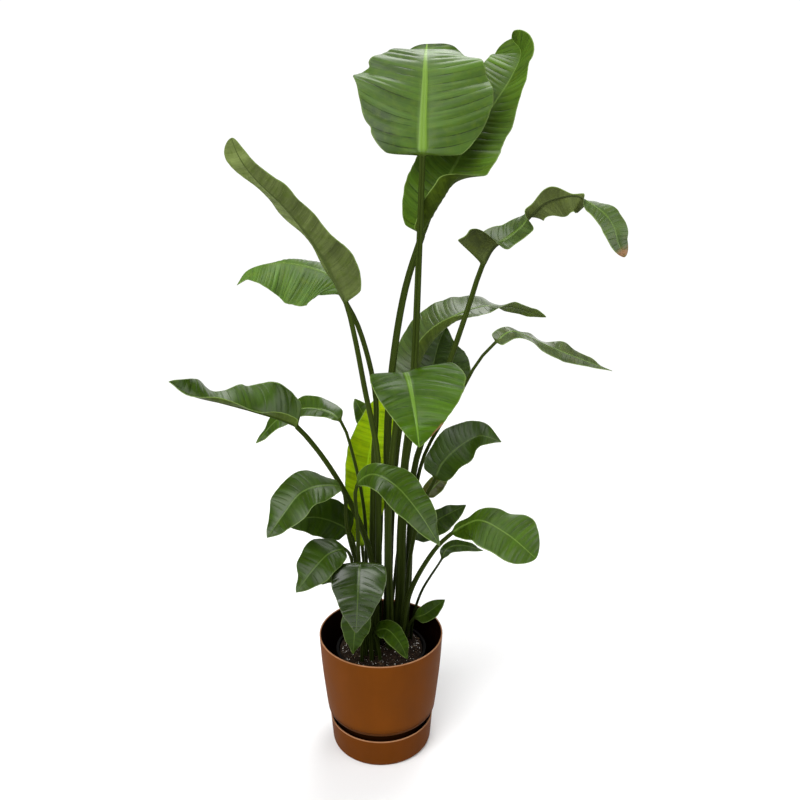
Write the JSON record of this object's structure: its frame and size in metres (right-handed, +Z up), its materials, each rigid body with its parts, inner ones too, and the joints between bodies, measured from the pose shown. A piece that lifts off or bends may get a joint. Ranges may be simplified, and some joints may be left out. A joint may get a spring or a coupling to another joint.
{
  "type": "potted bird of paradise plant",
  "caption": "Tall potted bird of paradise house plant with broad arching leaves on long stalks, in a round planter that stands in a low water dish.",
  "frame": {"origin": "centre of the dish's flat underside, on the floor, below the planter's axis", "axes": "+Z up along the planter's axis, -Y towards the viewer of the picture, +X to the viewer's right"},
  "size_m": [0.7866, 0.3745, 1.3653],
  "materials": {
    "pot_plastic": "brown moulded plastic, satin matte",
    "nursery_plastic": "thin black plastic, matte",
    "potting_soil": "dark brown loose potting soil with white grit",
    "leaf_green": "waxy green leaf, soft sheen, paler veins",
    "leaf_yellow_green": "thin yellow-green leaf, light passes through it"
  },
  "bodies": {
    "root": {"reservoir_dish": "pot_plastic", "planter_pot": "pot_plastic", "nursery_pot": "nursery_plastic", "soil": "potting_soil", "leaf_top_round": "leaf_green", "leaf_top_tall": "leaf_green", "leaf_left_long": "leaf_green", "leaf_left_pleated": "leaf_green", "leaf_right_arching": "leaf_green", "leaf_right_back_arching": "leaf_green", "leaf_back_dark": "leaf_green", "leaf_right_small_drooping": "leaf_green", "leaf_centre_heart": "leaf_green", "leaf_yellow_upright": "leaf_yellow_green", "leaf_far_left": "leaf_green", "leaf_left_back": "leaf_green", "leaf_back_grey": "leaf_green", "leaf_left_middle": "leaf_green", "leaf_front_centre": "leaf_green", "leaf_left_under": "leaf_green", "leaf_left_lower": "leaf_green", "leaf_left_small_back": "leaf_green", "leaf_front_heart": "leaf_green", "leaf_front_under_heart": "leaf_green", "leaf_front_low": "leaf_green", "leaf_right_low_small": "leaf_green", "leaf_right_low_thin": "leaf_green", "leaf_right_low_broad": "leaf_green", "leaf_right_low_back": "leaf_green", "leaf_right_middle": "leaf_green", "leaf_right_small_olive": "leaf_green"}
  },
  "joints": []
}
